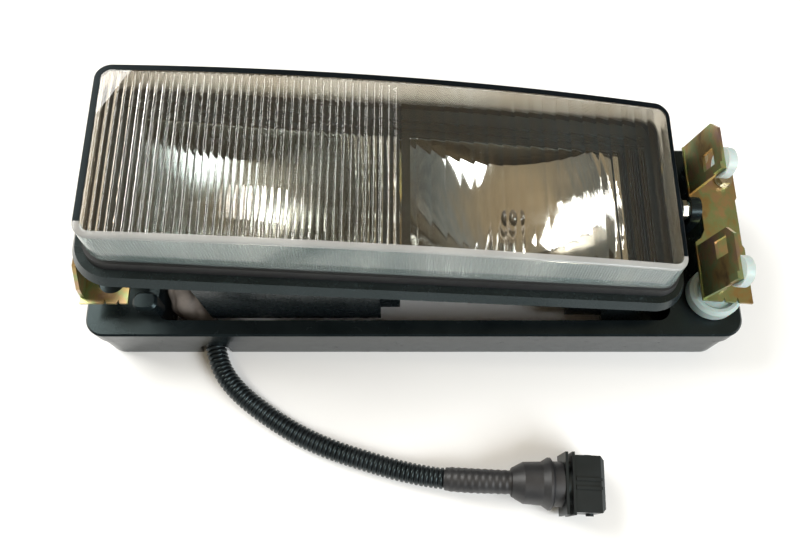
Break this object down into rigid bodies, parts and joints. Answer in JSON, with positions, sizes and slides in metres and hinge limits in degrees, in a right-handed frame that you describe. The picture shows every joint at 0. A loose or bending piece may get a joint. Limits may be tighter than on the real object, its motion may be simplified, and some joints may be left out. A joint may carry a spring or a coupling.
{
  "type": "fog light",
  "caption": "Rectangular twin-chamber fog and driving lamp with a fluted clear lens, pivoting in a black carrier frame with zinc brackets and a corrugated lead with plug.",
  "frame": {"origin": "on the carrier frame's back plane, where the lamp rests when it lies on its back, below the middle of the whole lamp without its cord", "axes": "+Z the way the lamp shines, +Y its top side, +X towards the driving-lamp end"},
  "size_m": [0.406, 0.2497, 0.1444],
  "materials": {
    "carrier_plastic": "moulded black plastic, semi-gloss",
    "bracket_steel": "yellow zinc plated sheet steel",
    "screw_steel": "zinc plated",
    "nylon": "natural white nylon",
    "housing_plastic": "moulded black plastic",
    "lens_glass": "clear pressed lens",
    "seal_rubber": "black sealing bead",
    "bezel_plastic": "black",
    "reflector_mirror": "vacuum metallised",
    "bulb_glass": "quartz glass",
    "bulb_metal": "plain steel",
    "clip_wire": "spring wire",
    "cover_plastic": "moulded black plastic",
    "gaiter_rubber": "soft grey-brown rubber",
    "conduit_plastic": "corrugated conduit",
    "sleeve_rubber": "heat-shrunk sleeve",
    "connector_plastic": "black connector",
    "pin_brass": "contact pins"
  },
  "bodies": {
    "carrier": {"frame_left_end": "carrier_plastic", "frame_right_lower": "carrier_plastic", "frame_right_upper": "carrier_plastic", "frame_top_bar": "carrier_plastic", "frame_bottom_bar": "carrier_plastic", "pivot_bushes": "nylon", "bracket_right": "bracket_steel", "bracket_left": "bracket_steel", "bracket_screws": "screw_steel", "lug_nut_upper": "nylon", "lug_nut_lower": "nylon", "harness_gaiter": "gaiter_rubber", "conduit": "conduit_plastic", "shrink_sleeve": "sleeve_rubber", "connector_boot": "sleeve_rubber", "connector_lock_ring": "connector_plastic", "connector_body": "connector_plastic", "connector_insert": "connector_plastic", "connector_pins": "pin_brass"},
    "lamp": {"housing_rim": "housing_plastic", "fog_chamber": "housing_plastic", "driving_chamber": "housing_plastic", "fog_neck": "housing_plastic", "driving_neck": "housing_plastic", "pivot_stud_right": "screw_steel", "pivot_stud_left": "screw_steel", "lens": "lens_glass", "lens_seal": "seal_rubber", "inner_bezel": "bezel_plastic", "fog_bulb_shield": "bulb_metal", "breather": "seal_rubber", "lamp_lead": "sleeve_rubber", "lead_gland": "seal_rubber", "fog_reflector": "reflector_mirror", "fog_bulb_base": "bulb_metal", "fog_bulb_glass": "bulb_glass", "fog_bulb_plug": "connector_plastic", "fog_clip_hinge": "bulb_metal", "fog_cover_seal": "seal_rubber", "driving_reflector": "reflector_mirror", "driving_bulb_base": "bulb_metal", "driving_bulb_glass": "bulb_glass", "driving_bulb_plug": "connector_plastic", "driving_clip_hinge": "bulb_metal", "driving_cover_seal": "seal_rubber"},
    "adjuster": {"adjuster_wheel": "nylon", "adjuster_spindle": "screw_steel"},
    "travel_nut": {"adjuster_nut": "nylon"},
    "fog_cover": {"fog_rear_cover": "cover_plastic"},
    "driving_cover": {"driving_rear_cover": "cover_plastic"},
    "fog_clip": {"fog_bulb_clip": "clip_wire"},
    "driving_clip": {"driving_bulb_clip": "clip_wire"}
  },
  "joints": [
    {"name": "adjuster_turn", "type": "hinge", "parent": "carrier", "child": "adjuster", "pos_m": [0.1848, -0.0475, 0.045], "axis": [0, 0, 1], "range_deg": [-660, 660]},
    {"name": "nut_travel", "type": "slide", "parent": "carrier", "child": "travel_nut", "axis": [0, 0, 1], "range_m": [-0.0029, 0.0029]},
    {"name": "aim_tilt", "type": "hinge", "parent": "carrier", "child": "lamp", "pos_m": [0, -0.001, 0.07], "axis": [1, 0, 0], "range_deg": [-3.5, 3.5]},
    {"name": "fog_cover_twist", "type": "hinge", "parent": "lamp", "child": "fog_cover", "pos_m": [-0.096, -0.003, 0.006], "axis": [0, 0, 1], "range_deg": [-40, 0]},
    {"name": "driving_cover_twist", "type": "hinge", "parent": "lamp", "child": "driving_cover", "pos_m": [0.061, -0.003, 0.006], "axis": [0, 0, 1], "range_deg": [-40, 0]},
    {"name": "fog_clip_swing", "type": "hinge", "parent": "lamp", "child": "fog_clip", "pos_m": [-0.11, -0.003, 0.0298], "axis": [0, 1, 0], "range_deg": [0, 35]},
    {"name": "driving_clip_swing", "type": "hinge", "parent": "lamp", "child": "driving_clip", "pos_m": [0.047, -0.003, 0.0258], "axis": [0, 1, 0], "range_deg": [0, 35]}
  ],
  "couplings": [
    {"joint": "nut_travel", "follows": "adjuster_turn", "m_per_rad": 0.00023873},
    {"joint": "aim_tilt", "follows": "adjuster_turn", "ratio": -0.005134}
  ]
}
